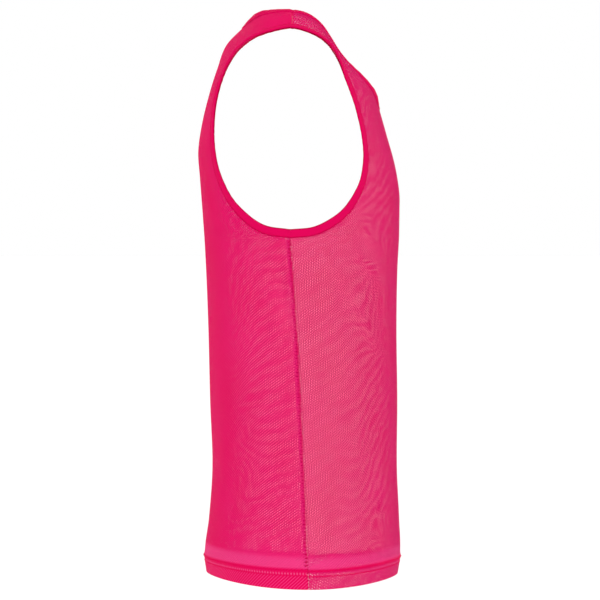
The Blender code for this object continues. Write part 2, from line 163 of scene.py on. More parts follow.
# ---------------------------------------------------------------- cloth and sewing, in millimetres
NET_WALL = 0.12
SEAM_GAP = 0.15
EDGE_SPACING = 3.0
BODY_ROW = 5.0
YOKE_ROW = 4.0
HEM_ROW = 1.2
MIDDLE_COLUMN = 4.5
SEAM_COLUMNS = (0.0, 0.6, 1.3, 2.2, 3.4, 5.0, 7.0, 9.5, 12.5, 16.0)
PANEL_HALF_GIRTH = 262.0
SHOULDER_ROWS = (5.0, 3.4, 2.2, 1.3, 0.6)

HEM_LINE_TOP = 21.8
HEM_LINE_LOW = 15.4
HEM_DASHES = 17.6
HEM_TURN_UP = 23.0
HEM_HALF_STACK = 0.85
HEM_FOLD_STEPS = 8
HEM_RIDGE = 0.4
HEM_RIDGE_WIDTH = 2.3
HEM_GROOVE = 0.3
HEM_GROOVE_WIDTH = 1.0
HEM_STACK_FADE = 2.2
HEM_LINE_POINTS = 90
DASH_SHARE = 0.6
DASH_WIDTH = 1.0
# The drawn-in line over the hem is finest at the side seams and spreads towards the middle of a panel
HEM_LINE_FINE = 1.1
HEM_LINE_SPREAD = 2.4

# How far each line of sewing draws the net shut, from 0 to 1, and over what width
SEWN_SHUT = {"hem": (0.9, 0.9), "neck": (0.6, 2.0), "shoulder": (0.9, 1.6), "armhole": (0.45, 1.6)}
# How far the net is shut in each hem, and in the back, darker in the photo, from its middle out; the back's
# shutting also colours its net darker, a painted shade
HEM_CLOSE = {"front": 0.2, "back": 0.75}
BACK_CLOSE_AND_SHADE = 0.42
BACK_CLOSE_TO = 150.0
BACK_CLOSE_BLEND = 18.0
SEAM_OPEN = 0.45
SEAM_OPEN_AT = 2.8

GROOVE_DEPTH = 0.6
GROOVE_WIDTH = 1.5
PUCKER_PITCH = 11.0
PUCKER_BEND = 1.3
PUCKER_BEND_PITCH = 47.0
PUCKER_SWELL_PITCH = 83.0
SIDE_PUCKER = 0.3
SIDE_PUCKER_REACH = 10.0
EDGE_PUCKER = 0.14
EDGE_PUCKER_REACH = 8.0
HEM_PUCKER = 0.3
HEM_PUCKER_REACH = 9.0
ARMHOLE_RADIUS = 120.0
NECK_RADIUS = 80.0

NECK_WIDTH = 9.3
# The left strip is narrower, so that its inner face stays behind the near edge in the camera's view
ARMHOLE_WIDTH = {"right": 10.0, "left": 6.4}
BINDING_HALF = 1.1
BINDING_CROWN = 0.12
BINDING_DENT = 0.2
BINDING_DENT_WIDTH = 0.5
ARMHOLE_LAP = 0.0
NECK_LAP = 4.5
STRAP_TILT = 16.0
STRAP_TILT_FROM = -75.0
STRAP_TILT_TO = -25.0
BINDING_STITCH_AT = 1.7

ALLOWANCE_WIDTH = 5.2
ALLOWANCE_WALL = 0.9
ALLOWANCE_DEPTH = 1.15
ALLOWANCE_FROM = 0.3
ALLOWANCE_ROW = 3.0
ALLOWANCE_COLUMNS = 7
OVERLOCK_PITCH = 3.6
OVERLOCK_RADIUS = 0.4
STITCH_LENGTH = 2.7
STITCH_GAP = 0.5
STITCH_RADIUS = 0.24
# The heights of a stitch over its seam line, from end to end: it dips into the cloth at both ends
STITCH_DIPS = (-0.35, 0.15, 0.22, 0.15, -0.35)
HEM_STITCH_RADIUS = 0.42
SEAM_STITCH_PITCH = 4.2
SEAM_STITCH_AHEAD = 0.7
SEAM_STITCH_BEHIND = 3.2
SEAM_STITCH_RISE = 0.7
SEAM_STITCH_RADIUS = 0.75
SEAM_STITCH_LIFT = 0.3
SEAM_STITCH_SUNK = 0.5

# ---------------------------------------------------------------- camera and light, in metres
CAMERA_PLACE = (-12.0, 0.0, -0.120)
CAMERA_AIM = (0.0, -0.0093, -0.3357)
CAMERA_LENS = 598.3
CAMERA_SENSOR = 36.0
CAMERA_FAR = 300.0
FLOOR_Z = -1.38
FLOOR_HALF = 80.0

KEY_PLACE = (-3.6, -3.4, 0.9)
KEY_POWER = 38.0
FILL_PLACE = (-3.8, 3.2, 0.0)
FILL_POWER = 30.0
LIGHT_SIZE = 2.4
LIGHT_AIM = (0.0, -0.01, -0.34)
CEILING_POWER = 0.5
CEILING_SPREAD = 120.0


def bell(distance, width):
    return math.exp(-((distance / width) ** 2))


def unit(vectors):
    """The vectors, one a row, at a length of 1."""
    return vectors / np.linalg.norm(vectors, axis=1)[:, None]


def run_along(points):
    """The length so far at each point of a line."""
    return np.concatenate([[0.0], np.cumsum(np.linalg.norm(np.diff(points, axis=0), axis=1))])


def tangents(values, steps, before, after):
    """The slope at each row: a weighted mean of the slopes on both sides, or one of them at an end.

    before and after are (values, step) of the row that the curve comes from or goes on to."""
    slopes = [(b - a) / step for a, b, step in zip(values, values[1:], steps)]
    lengths = list(steps)
    if before is not None:
        slopes.insert(0, (values[0] - before[0]) / before[1])
        lengths.insert(0, before[1])
    else:
        slopes.insert(0, slopes[0])
        lengths.insert(0, lengths[0])
    if after is not None:
        slopes.append((after[0] - values[-1]) / after[1])
        lengths.append(after[1])
    else:
        slopes.append(slopes[-1])
        lengths.append(lengths[-1])
    return [
        (slopes[i] * lengths[i + 1] + slopes[i + 1] * lengths[i]) / (lengths[i] + lengths[i + 1])
        for i in range(len(values))
    ]


def wave(way, seed):
    """An uneven ripple of about one unit along the way run, as a gathered seam has."""
    bend = PUCKER_BEND * np.sin(way * 2 * math.pi / PUCKER_BEND_PITCH + 0.7 + seed)
    swell = 0.6 + 0.4 * np.sin(way * 2 * math.pi / PUCKER_SWELL_PITCH + 2.0 * seed)
    return np.sin(way * 2 * math.pi / PUCKER_PITCH + bend) * swell


class Panel:
    """The mid surface of half a panel, on the wearer's left.

    A station is the way run from the hem, and a share is the part of a section from its inner edge."""

    def __init__(self, name, yoke, other_yoke, fullness):
        self.name = name
        rows = [self.body_section(row, fullness) for row in BODY] + yoke
        values = np.array([row[1:] for row in rows])
        other = np.array([row[1:] for row in other_yoke])
        self.underarm_row = len(BODY) - 1
        self.neck_row = next(i for i, row in enumerate(rows) if row.name == "neck")
        self.steps = self.step_lengths(values)
        self.stations = np.concatenate([[0.0], np.cumsum(self.steps)])
        past_underarm = self.step_lengths(np.array([values[self.underarm_row], other[0]]))[0]
        past_shoulder = self.step_lengths(other[-2:])[0]
        self.values, other = self.with_turns(values), self.with_turns(other)
        self.set_slopes(other, past_underarm, past_shoulder)
        self.underarm = self.stations[self.underarm_row]
        self.neck = self.stations[self.neck_row]
        self.shoulder = self.stations[-1]

    def body_section(self, row, fullness):
        y, z = (row.front_y, row.front_z) if self.name == "front" else (row.back_y, row.back_z)
        return Section(row.name, 0.0, y, z, row.side_x, row.side_y, row.side_z, row.side_x, fullness, 0.0)

    @staticmethod
    def with_turns(values):
        """The rows with out_x given as the angle round the squared ellipse, 90 degrees at its side."""
        turned = values.copy()
        turned[:, 3] = np.arcsin((values[:, 3] / values[:, 6]) ** (values[:, 7] / 2))
        return turned

    @staticmethod
    def step_lengths(values):
        moved = np.diff(values, axis=0)
        inner = np.linalg.norm(moved[:, 0:3], axis=1)
        outer = np.linalg.norm(moved[:, 3:6], axis=1)
        return (inner + outer) / 2

    def set_slopes(self, other, past_underarm, past_shoulder):
        """Slopes at both ends of each interval. Edges turn at the neck (inner) and underarm (outer)."""
        values, steps = self.values, list(self.steps)
        mirrored = values[self.neck_row + 1].copy()
        mirrored[0] *= -1
        round_side = other[0].copy()
        round_side[3] = math.pi - round_side[3]
        shoulder = (other[-2], past_shoulder)
        smooth = np.array(tangents(values, steps, None, shoulder))
        starts, ends = smooth[:-1].copy(), smooth[1:].copy()
        for columns, corner, before in (
            (slice(0, 3), self.neck_row, (mirrored, steps[self.neck_row])),
            (slice(3, 6), self.underarm_row, (round_side, past_underarm)),
        ):
            low = np.array(tangents(values[: corner + 1], steps[:corner], None, None))
            high = np.array(tangents(values[corner:], steps[corner:], before, shoulder))
            starts[:corner, columns], ends[:corner, columns] = low[:-1, columns], low[1:, columns]
            starts[corner:, columns], ends[corner:, columns] = high[:-1, columns], high[1:, columns]
        self.starts, self.ends = starts, ends

    def row_at(self, station):
        last = len(self.steps) - 1
        i = min(max(int(np.searchsorted(self.stations, station, side="right")) - 1, 0), last)
        step = self.steps[i]
        t = (station - self.stations[i]) / step
        return (
            (2 * t**3 - 3 * t**2 + 1) * self.values[i]
            + (t**3 - 2 * t**2 + t) * step * self.starts[i]
            + (3 * t**2 - 2 * t**3) * self.values[i + 1]
            + (t**3 - t**2) * step * self.ends[i]
        )

    def section(self, station):
        """(points, length so far) along the section at this station, from the inner edge to the outer."""
        in_x, in_y, in_z, end, out_y, out_z, span, fullness, crown = self.row_at(station)
        power = 2 / fullness
        begin = math.asin((max(in_x, 0.0) / span) ** (1 / power))
        end = min(end, math.pi / 2)
        turn = np.linspace(begin, end, SECTION_SAMPLES)
        x = span * np.sin(turn) ** power
        reach = np.abs(np.cos(turn)) ** power
        share = (reach - reach[-1]) / (reach[0] - reach[-1])
        y = out_y + (in_y - out_y) * share
        # A section that goes on to the side seam runs level there, so that front and back meet smoothly.
        z = out_z + (in_z - out_z) * share ** (1 + math.sin(end) ** LEVEL_POWER)
        away = np.array([y.mean() - ARMHOLE_CENTRE[1], z.mean() - ARMHOLE_CENTRE[2]])
        away /= np.linalg.norm(away)
        bulge = crown * np.sin(np.pi * np.linspace(0, 1, SECTION_SAMPLES))
        points = np.stack([x, y + bulge * away[0], z + bulge * away[1]], axis=1)
        run = run_along(points)
        return points, run

    def width(self, station):
        return self.section(station)[1][-1]

    def plain_point(self, station, shares):
        points, run = self.section(station)
        return np.stack([np.interp(shares * run[-1], run, points[:, k]) for k in range(3)], axis=1)

    def along_section(self, station, shares):
        """Unit vectors along the section, towards its outer end."""
        across = NORMAL_REACH / self.section(station)[1][-1]
        low, high = np.maximum(shares - across, 0), np.minimum(shares + across, 1)
        found = self.plain_point(station, high) - self.plain_point(station, low)
        return unit(found)

    def normals(self, station, shares):
        # The edges run almost along a section at underarm and neck, so the rise is read inside them.
        inside = np.clip(shares, *NORMAL_SHARES)
        below = max(station - NORMAL_REACH, 0.0)
        above = min(station + NORMAL_REACH, self.stations[-1])
        rise = self.plain_point(above, inside) - self.plain_point(below, inside)
        over = self.along_section(station, inside)
        rise -= (rise * over).sum(axis=1)[:, None] * over
        found = np.cross(self.along_section(station, shares), rise)
        found *= 1 if self.name == "front" else -1
        return unit(found)

    def sewing_height(self, side, station, shares, points):
        """How far the seams pull the cloth in, and pucker it, in millimetres."""
        width = self.width(station)
        from_outer, from_inner = (1 - shares) * width, shares * width
        seed = 0.4 * side
        height = np.zeros(len(shares))
        if station <= self.underarm:
            height -= GROOVE_DEPTH * np.exp(-((from_outer / GROOVE_WIDTH) ** 2))
            height += SIDE_PUCKER * np.exp(-from_outer / SIDE_PUCKER_REACH) * wave(points[:, 2], seed)
        else:
            _, middle_y, middle_z = ARMHOLE_CENTRE
            round_arm = ARMHOLE_RADIUS * np.arctan2(points[:, 2] - middle_z, points[:, 1] - middle_y)
            height += EDGE_PUCKER * np.exp(-from_outer / EDGE_PUCKER_REACH) * wave(round_arm, 1.0 + seed)
        if station > self.neck:
            round_neck = NECK_RADIUS * np.arctan2(points[:, 1] - NECK_CENTRE[1], side * points[:, 0])
            height += EDGE_PUCKER * np.exp(-from_inner / EDGE_PUCKER_REACH) * wave(round_neck, 2.0)
        past_hem = abs(station - HEM_LINE_TOP)
        height += HEM_PUCKER * math.exp(-past_hem / HEM_PUCKER_REACH) * wave(from_inner * side, 3.0)
        height -= GROOVE_DEPTH * bell(self.shoulder - station, GROOVE_WIDTH)
        return height

    @staticmethod
    def fold_height(folds, side, points):
        """How far the folds of one side push these points out of the plain surface."""
        ahead = (FOLD_MIDDLE_Y - points[:, 1]) / FOLD_HALF_DEPTH
        bearing = np.arctan2(points[:, 0] / FOLD_HALF_WIDTH, ahead)
        height = np.zeros(len(points))
        for fold in folds:
            if fold.side != side:
                continue
            ends = np.radians([fold.from_bearing, fold.to_bearing])
            girth = np.hypot(FOLD_HALF_WIDTH * np.cos(ends.mean()), FOLD_HALF_DEPTH * np.sin(ends.mean()))
            start = np.array([girth * ends[0], fold.from_z])
            along = np.array([girth * ends[1], fold.to_z]) - start
            place = np.stack([girth * bearing, points[:, 2]], axis=1) - start
            share = np.clip(place @ along / (along @ along), 0, 1)
            aside = np.linalg.norm(place - share[:, None] * along, axis=1)
            swell = np.sin(np.pi * (FOLD_END_SHARE + (1 - 2 * FOLD_END_SHARE) * share))
            height += fold.depth * swell * np.exp(-((aside / fold.width) ** 2))
        return height

    def strip(self, side, station, shares, lift=0.0):
        """(points, normals) of the cloth on this side, -1 being the wearer's right, lifted outwards."""
        points = self.plain_point(station, shares)
        normals = self.normals(station, shares)
        height = lift + self.fold_height(FOLDS, side, points) + self.fold_height(CREASES, side, points)
        height += self.sewing_height(side, station, shares, points)
        points = points + normals * height[:, None]
        mirror = np.array([side, 1, 1])
        return points * mirror, normals * mirror


# ---------------------------------------------------------------- mesh helpers
def make_object(name, points, faces, material, uvs=None):
    """A smooth mesh object from points in millimetres. uvs, one for each point, give its UV map."""
    mesh = bpy.data.meshes.new(name)
    mesh.from_pydata((np.asarray(points) * MM).tolist(), [], faces)
    if uvs is not None:
        layer = mesh.uv_layers.new(name="cloth")
        corners = np.empty(len(mesh.loops), np.int32)
        mesh.loops.foreach_get("vertex_index", corners)
        layer.data.foreach_set("uv", (np.asarray(uvs)[corners] * MM).astype(np.float32).ravel())
    mesh.materials.append(material)
    mesh.shade_smooth()
    obj = bpy.data.objects.new(name, mesh)
    bpy.context.scene.collection.objects.link(obj)
    return obj


def shell(name, faces, middle, normals, wall, material, uvs, **fields):
    """A closed wall: the faces on both sides of the middle points, joined round every free edge.

    Each further field has a number for each middle point, and becomes an attribute of the mesh."""
    middle, half = np.asarray(middle), np.asarray(normals) * (wall / 2)
    count = len(middle)
    sides = {}
    for face in faces:
        for a, b in zip(face, face[1:] + face[:1]):
            sides[(a, b)] = sides.get((a, b), 0) + 1
    rim = [(b, a, a + count, b + count) for a, b in sides if (b, a) not in sides]
    inner = [tuple(i + count for i in reversed(face)) for face in faces]
    points = np.concatenate([middle + half, middle - half])
    made = make_object(name, points, list(faces) + inner + rim, material, np.concatenate([uvs, uvs]))
    for field, values in fields.items():
        attribute = made.data.attributes.new(field, "FLOAT", "POINT")
        attribute.data.foreach_set("value", np.tile(values, 2).astype(np.float32))
    return made


def grid_faces(rows, columns):
    """The faces of a grid of points that are numbered row by row."""
    faces = []
    for r in range(rows - 1):
        for c in range(columns - 1):
            a = r * columns + c
            faces.append((a, a + 1, a + columns + 1, a + columns))
    return faces


def tubes(name, paths, radius, material, sides=6, taper=0.45):
    """One mesh of round threads. Each path is (points, normals); its ends are thinner and closed."""
    points, faces = [], []
    around = np.arange(sides) * 2 * math.pi / sides
    for path, normals in paths:
        along = unit(np.gradient(path, axis=0))
        across = unit(np.cross(along, normals))
        above = np.cross(across, along)
        sizes = np.full(len(path), radius)
        sizes[0] = sizes[-1] = radius * taper
        start = len(points)
        for k, place in enumerate(path):
            ring = np.outer(np.cos(around), across[k]) + np.outer(np.sin(around), above[k])
            points.extend(place + sizes[k] * ring)
        for k in range(len(path) - 1):
            here, there = start + k * sides, start + (k + 1) * sides
            for s in range(sides):
                t = (s + 1) % sides
                faces.append((here + s, here + t, there + t, there + s))
        last = start + (len(path) - 1) * sides
        faces.append(tuple(start + s for s in reversed(range(sides))))
        faces.append(tuple(last + s for s in range(sides)))
    return make_object(name, points, faces, material)


def evenly(line, spacing):
    """The line, (points, normals), resampled at about this spacing."""
    points, normals = line
    run = run_along(points)
    wanted = np.linspace(0, run[-1], max(2, int(run[-1] / spacing) + 1))
    moved = [np.stack([np.interp(wanted, run, a[:, k]) for k in range(3)], axis=1) for a in (points, normals)]
    return moved[0], unit(moved[1])


def stitch_row(line, lift):
    """Paths of single stitches along a line, each dipping into the cloth at both ends."""
    parts = len(STITCH_DIPS) - 1
    points, normals = evenly(line, (STITCH_LENGTH + STITCH_GAP) / parts)
    paths = []
    dips = np.array(STITCH_DIPS)[:, None]
    for start in range(0, len(points) - parts, parts):
        part = slice(start, start + parts + 1)
        ends = points[part].copy()
        shrink = STITCH_LENGTH / (STITCH_LENGTH + STITCH_GAP)
        ends = ends.mean(axis=0) + (ends - ends.mean(axis=0)) * shrink
        paths.append((ends + normals[part] * (lift + dips), normals[part]))
    return paths


# ---------------------------------------------------------------- materials
class Tree:
    """A short way to write a material's nodes."""

    def __init__(self, name):
        self.material = bpy.data.materials.new(name)
        self.material.use_nodes = True
        self.nodes = self.material.node_tree.nodes
        self.links = self.material.node_tree.links
        self.shader = self.nodes["Principled BSDF"]

    def put(self, socket, value):
        if isinstance(value, bpy.types.NodeSocket):
            self.links.new(value, socket)
        else:
            socket.default_value = value

    def math(self, operation, *values):
        node = self.nodes.new("ShaderNodeMath")
        node.operation = operation
        for socket, value in zip(node.inputs, values):
            self.put(socket, value)
        return node.outputs[0]

    def ramp(self, value, low, high, to_low=0.0, to_high=1.0):
        """A smooth step of the value from low to high."""
        node = self.nodes.new("ShaderNodeMapRange")
        node.interpolation_type = "SMOOTHSTEP"
        names = ("Value", "From Min", "From Max", "To Min", "To Max")
        for name, wanted in zip(names, (value, low, high, to_low, to_high)):
            self.put(node.inputs[name], wanted)
        return node.outputs["Result"]

    def mix(self, factor, first, second):
        node = self.nodes.new("ShaderNodeMix")
        node.data_type = "RGBA"
        for socket, value in zip((node.inputs[0], node.inputs[6], node.inputs[7]), (factor, first, second)):
            self.put(socket, value)
        return node.outputs[2]

    def noise(self, vector, scale, detail=2.0):
        node = self.nodes.new("ShaderNodeTexNoise")
        self.put(node.inputs["Vector"], vector)
        node.inputs["Scale"].default_value = scale
        node.inputs["Detail"].default_value = detail
        return node.outputs["Fac"]

    def flat_place(self):
        """(vector, along, up) of the flat cut, in metres, from the cloth's UV map."""
        node = self.nodes.new("ShaderNodeUVMap")
        node.uv_map = "cloth"
        apart = self.nodes.new("ShaderNodeSeparateXYZ")
        self.links.new(node.outputs[0], apart.inputs[0])
        return node.outputs[0], apart.outputs[0], apart.outputs[1]

    def attribute(self, name):
        node = self.nodes.new("ShaderNodeAttribute")
        node.attribute_name = name
        return node.outputs["Fac"]

    def dashes(self, along):
        """Short bars at the stitches' pitch."""
        wave_along = self.math("SINE", self.math("MULTIPLY", along, 2 * math.pi / DASH_PITCH))
        return self.ramp(wave_along, -0.3, 0.4)

    def bump(self, height, distance):
        node = self.nodes.new("ShaderNodeBump")
        node.inputs["Distance"].default_value = distance
        self.put(node.inputs["Height"], height)
        self.links.new(node.outputs[0], self.shader.inputs["Normal"])

    def finish(self, **values):
        for name, value in values.items():
            self.put(self.shader.inputs[name.replace("_", " ")], value)
        return self.material


# The net's pale colour carries both its random tone and the painted sheen on its yarns' crowns
NET_DEEP = (0.68, 0.001, 0.080, 1.0)
NET_PALE_AND_SHEEN = (0.77, 0.012, 0.165, 1.0)
DENSE_DEEP = (0.61, 0.001, 0.073, 1.0)
DENSE_PALE = (0.67, 0.002, 0.095, 1.0)
THREAD_PINK = (0.64, 0.001, 0.078, 1.0)
SEAM_PINK = (0.47, 0.0, 0.050, 1.0)
STITCH_PALE = (0.86, 0.12, 0.33, 1.0)
# The pink of the painted light on the hem: highlights on its crests, and the paler net above it and on its
# turned-up layer
HEM_PAINTED_LIGHT = (0.84, 0.07, 0.27, 1.0)
CLOTH_GLOSS = 0.012

# The net's two sets of slanting yarns: the angle of their lines above the width of the cloth, and their pitch
RIDGE_ANGLE = 38.0
RIDGE_PITCH = 0.0026
CROSS_ANGLE = -60.0
CROSS_PITCH = 0.0015
NET_WANDER = 0.0007
HOLE_SOFTNESS = 0.28
FRONT_HOLE = 0.68
ALLOWANCE_HOLE = 0.3
BACK_HOLE = 1.05
DRAWN_SHUT = 1.6
WANDER_SCALE = 70.0
PATCH_SCALE = 16.0
FIBRE_SCALE = 2200.0
NET_RELIEF = 0.00025
# How much of the pale colours shows: painted highlight on the hem's crests, painted light above the hem and
# on its turned-up layer, and darkening where the net is drawn shut, with painted shade on the back
HEM_CREST_HIGHLIGHT = 0.5
PAINTED_LIGHT_ABOVE_HEM = 0.5
TURN_UP_PAINTED_LIGHT = 0.8
DRAWN_DARK_AND_SHADE = 0.7
DASH_PITCH = 0.0036
# The strip above the hem where painted light makes the net paler, in metres on the flat cut
PAINTED_LIGHT_FROM = (0.0225, 0.0255)
PAINTED_LIGHT_TO = (0.033, 0.041)


def net_material(name, hole):
    """An even net: round holes where two sets of slanting yarns leave room, shut where sewing draws it in.

    hole is the height of the lattice, from -2 to 2, above which it's open."""
    tree = Tree(name)
    place, along, up = tree.flat_place()
    aside = tree.math("SUBTRACT", tree.noise(place, WANDER_SCALE), 0.5)
    wander = tree.math("MULTIPLY", aside, 2 * NET_WANDER)
    along = tree.math("ADD", along, wander)

    def yarns(angle, pitch):
        """A wave whose crests are lines at this angle."""
        turn = 2 * math.pi / pitch
        run, rise = -math.sin(math.radians(angle)) * turn, math.cos(math.radians(angle)) * turn
        phase = tree.math("ADD", tree.math("MULTIPLY", along, run), tree.math("MULTIPLY", up, rise))
        return tree.math("COSINE", phase)

    ridge, cross = yarns(RIDGE_ANGLE, RIDGE_PITCH), yarns(CROSS_ANGLE, CROSS_PITCH)
    lattice = tree.math("ADD", ridge, cross)
    drawn = tree.attribute("drawn")
    level = tree.math("SUBTRACT", lattice, tree.math("MULTIPLY", drawn, DRAWN_SHUT))
    opening = tree.ramp(level, hole - HOLE_SOFTNESS, hole + HOLE_SOFTNESS)

    # Painted highlight: the yarns' crowns are coloured paler, standing in for the sheen of shiny yarn; the
    # noise patches are random tone
    crown = tree.math("ADD", tree.math("MULTIPLY", ridge, -0.38), tree.math("MULTIPLY", cross, -0.16))
    patch = tree.math("MULTIPLY", tree.math("SUBTRACT", tree.noise(place, PATCH_SCALE, 3.0), 0.5), 0.5)
    pale = tree.math("ADD", tree.math("ADD", crown, patch), 0.5)
    # Darker where the net is drawn shut; towards the back's middle and in the back's hem this darkening is
    # painted shade
    pale = tree.math("SUBTRACT", pale, tree.math("MULTIPLY", drawn, DRAWN_DARK_AND_SHADE))
    colour = tree.mix(tree.ramp(pale, 0.0, 1.0), NET_DEEP, NET_PALE_AND_SHEEN)
    # The doubled hem's ridge crests are coloured paler, a painted highlight, with paler dashes between its
    # two lines of stitches
    in_hem = tree.ramp(up, HEM_LINE_LOW * MM - 0.001, HEM_LINE_LOW * MM, HEM_CREST_HIGHLIGHT, 0.0)
    crest_highlight = tree.ramp(tree.math("ADD", ridge, tree.math("MULTIPLY", cross, 0.35)), -0.2, -1.0)
    colour = tree.mix(tree.math("MULTIPLY", in_hem, crest_highlight), colour, HEM_PAINTED_LIGHT)
    # Painted light: the far hem shows through as a darker band just above the near one, so the net is painted
    # paler there to offset that shade
    paler = tree.ramp(up, *PAINTED_LIGHT_FROM, 0.0, PAINTED_LIGHT_ABOVE_HEM)
    painted_light_above_hem = tree.math("MULTIPLY", paler, tree.ramp(up, *PAINTED_LIGHT_TO, 1.0, 0.0))
    colour = tree.mix(painted_light_above_hem, colour, HEM_PAINTED_LIGHT)
    # Painted light: the turned-up layer, seen in shade from inside the bib, is coloured paler
    turned_up_painted_light = tree.ramp(up, -0.0010, 0.0, TURN_UP_PAINTED_LIGHT, 0.0)
    colour = tree.mix(turned_up_painted_light, colour, HEM_PAINTED_LIGHT)
    dashes = tree.math("MULTIPLY", tree.attribute("dashes"), tree.dashes(along))
    colour = tree.mix(dashes, colour, STITCH_PALE)

    height = tree.math("MULTIPLY", lattice, -0.4)
    fibres = tree.math("MULTIPLY", tree.noise(place, FIBRE_SCALE), 0.25)
    tree.bump(tree.math("ADD", height, fibres), NET_RELIEF)
    return tree.finish(
        Base_Color=colour,
        Alpha=tree.math("SUBTRACT", 1.0, opening),
        Roughness=tree.ramp(lattice, -1.2, 1.0, 0.55, 0.75),
        Specular_IOR_Level=CLOTH_GLOSS,
    )


def dense_material(name, deep, pale, rib):
    """A closed knit with fine ribs along its second direction."""
    tree = Tree(name)
    place, along, up = tree.flat_place()
    ribs = tree.math("COSINE", tree.math("MULTIPLY", along, 2 * math.pi / rib))
    courses = tree.math("COSINE", tree.math("MULTIPLY", up, 2 * math.pi / (rib * 0.8)))
    knit = tree.math("ADD", tree.math("MULTIPLY", ribs, 0.6), tree.math("MULTIPLY", courses, 0.3))
    patch = tree.math("MULTIPLY", tree.math("SUBTRACT", tree.noise(place, 60.0, 3.0), 0.5), 0.9)
    shade = tree.ramp(tree.math("ADD", knit, patch), -0.9, 1.0)
    tree.bump(tree.math("ADD", knit, tree.math("MULTIPLY", tree.noise(place, 1800.0), 0.4)), 0.00012)
    return tree.finish(
        Base_Color=tree.mix(shade, deep, pale),
        Roughness=tree.ramp(knit, -0.9, 0.9, 0.75, 0.6),
        Specular_IOR_Level=CLOTH_GLOSS,
    )


def thread_material(name, colour):
    """Twisted polyester sewing thread."""
    tree = Tree(name)
    node = tree.nodes.new("ShaderNodeTexCoord")
    fibre = tree.noise(node.outputs["Object"], 2500.0)
    tree.bump(fibre, 0.0001)
    pale = tuple(min(1.0, c * 1.25) for c in colour)
    return tree.finish(
        Base_Color=tree.mix(tree.ramp(fibre, 0.35, 0.65), colour, pale),
        Roughness=tree.ramp(fibre, 0.3, 0.7, 0.45, 0.6),
        Specular_IOR_Level=CLOTH_GLOSS,
    )


def floor_material():
    tree = Tree("studio_floor")
    node = tree.nodes.new("ShaderNodeTexCoord")
    grain = tree.noise(node.outputs["Object"], 6.0)
    return tree.finish(
        Base_Color=tree.mix(grain, (0.90, 0.90, 0.90, 1.0), (0.92, 0.92, 0.92, 1.0)),
        Roughness=0.9,
        Specular_IOR_Level=0.1,
    )


# ---------------------------------------------------------------- pieces
def panel_stations(panel):
    """Stations of the outer cloth's rows above the hem's top line, up to the shoulder seam."""
    start = HEM_LINE_TOP + HEM_ROW
    body = np.arange(start, panel.underarm, BODY_ROW)
    yoke = np.arange(panel.underarm, panel.shoulder - SHOULDER_ROWS[0], YOKE_ROW)
    near_seam = [panel.shoulder - d for d in SHOULDER_ROWS] + [panel.shoulder - SEAM_GAP / 2]
    return [*body, *yoke, *near_seam]


def hem_rows():
    """(station, lift, flat height) of the rows from the raw edge, round the fold, to the top line."""
    middle = HEM_HALF_STACK
    rows = [(s, -middle, -s) for s in np.arange(HEM_TURN_UP, middle, -HEM_ROW)]
    for k in range(HEM_FOLD_STEPS + 1):
        turn = math.pi * k / HEM_FOLD_STEPS
        station = middle - middle * math.sin(turn)
        rows.append((station, -middle * math.cos(turn), middle * (turn - math.pi / 2)))
    for s in np.arange(middle + HEM_ROW, HEM_LINE_TOP + HEM_ROW / 2, HEM_ROW):
        ridge = HEM_RIDGE * bell(s - HEM_LINE_TOP, HEM_RIDGE_WIDTH)
        groove = HEM_GROOVE * bell(s - HEM_LINE_LOW, HEM_GROOVE_WIDTH)
        rows.append((s, middle + ridge - groove, s))
    return rows


def lift_above_hem(station):
    """The cloth comes back from the hem's stack to the plain surface just above the top line."""
    return (HEM_HALF_STACK + HEM_RIDGE) * bell(station - HEM_LINE_TOP, HEM_STACK_FADE)


def sewn_shut(seam, distance):
    """How far this line of sewing draws the net shut at a distance from it."""
    most, width = SEWN_SHUT[seam]
    return most * bell(distance, width)


def drawn_in_with_back_shade(panel, station, from_outer, from_inner, flat):
    """How far the net is drawn shut, from 0 to 1: at the seams, in the hem and towards the back's middle,
    where it also carries painted shade for the net's colour.
    """
    spread = HEM_LINE_FINE + HEM_LINE_SPREAD * from_outer / (from_outer + from_inner)
    found = max(bell(flat - HEM_LINE_TOP, spread), sewn_shut("hem", flat - HEM_LINE_LOW))
    if flat < HEM_LINE_TOP:
        found = max(found, HEM_CLOSE[panel.name])
    if station > panel.neck:
        found = max(found, sewn_shut("neck", from_inner))
    found = max(found, sewn_shut("shoulder", panel.shoulder - station))
    if station > panel.underarm:
        found = max(found, sewn_shut("armhole", from_outer))
    if panel.name == "back":
        # Painted shade: towards its middle the back is shut further, which also colours its net darker
        near_middle = 1 / (1 + math.exp((BACK_CLOSE_TO - from_inner) / -BACK_CLOSE_BLEND))
        found = max(found, BACK_CLOSE_AND_SHADE * near_middle)
        if HEM_LINE_TOP < flat and station <= panel.underarm:
            # Over the seam allowance the net is more open, so the overlock shows through as dark dots
            found -= SEAM_OPEN * bell(from_outer - SEAM_OPEN_AT, SEAM_OPEN_AT)
    return found


def dash_strip(flat):
    """Where the paler dashes between the hem's two lines of stitches are, from 0 to 1."""
    return DASH_SHARE * bell(flat - HEM_DASHES, DASH_WIDTH)


def column_shares():
    """Shares across half a panel, closer together at its outer seam."""
    even = np.arange(SEAM_COLUMNS[-1] + MIDDLE_COLUMN, PANEL_HALF_GIRTH, MIDDLE_COLUMN)
    return 1 - np.array([*SEAM_COLUMNS, *even, PANEL_HALF_GIRTH])[::-1] / PANEL_HALF_GIRTH


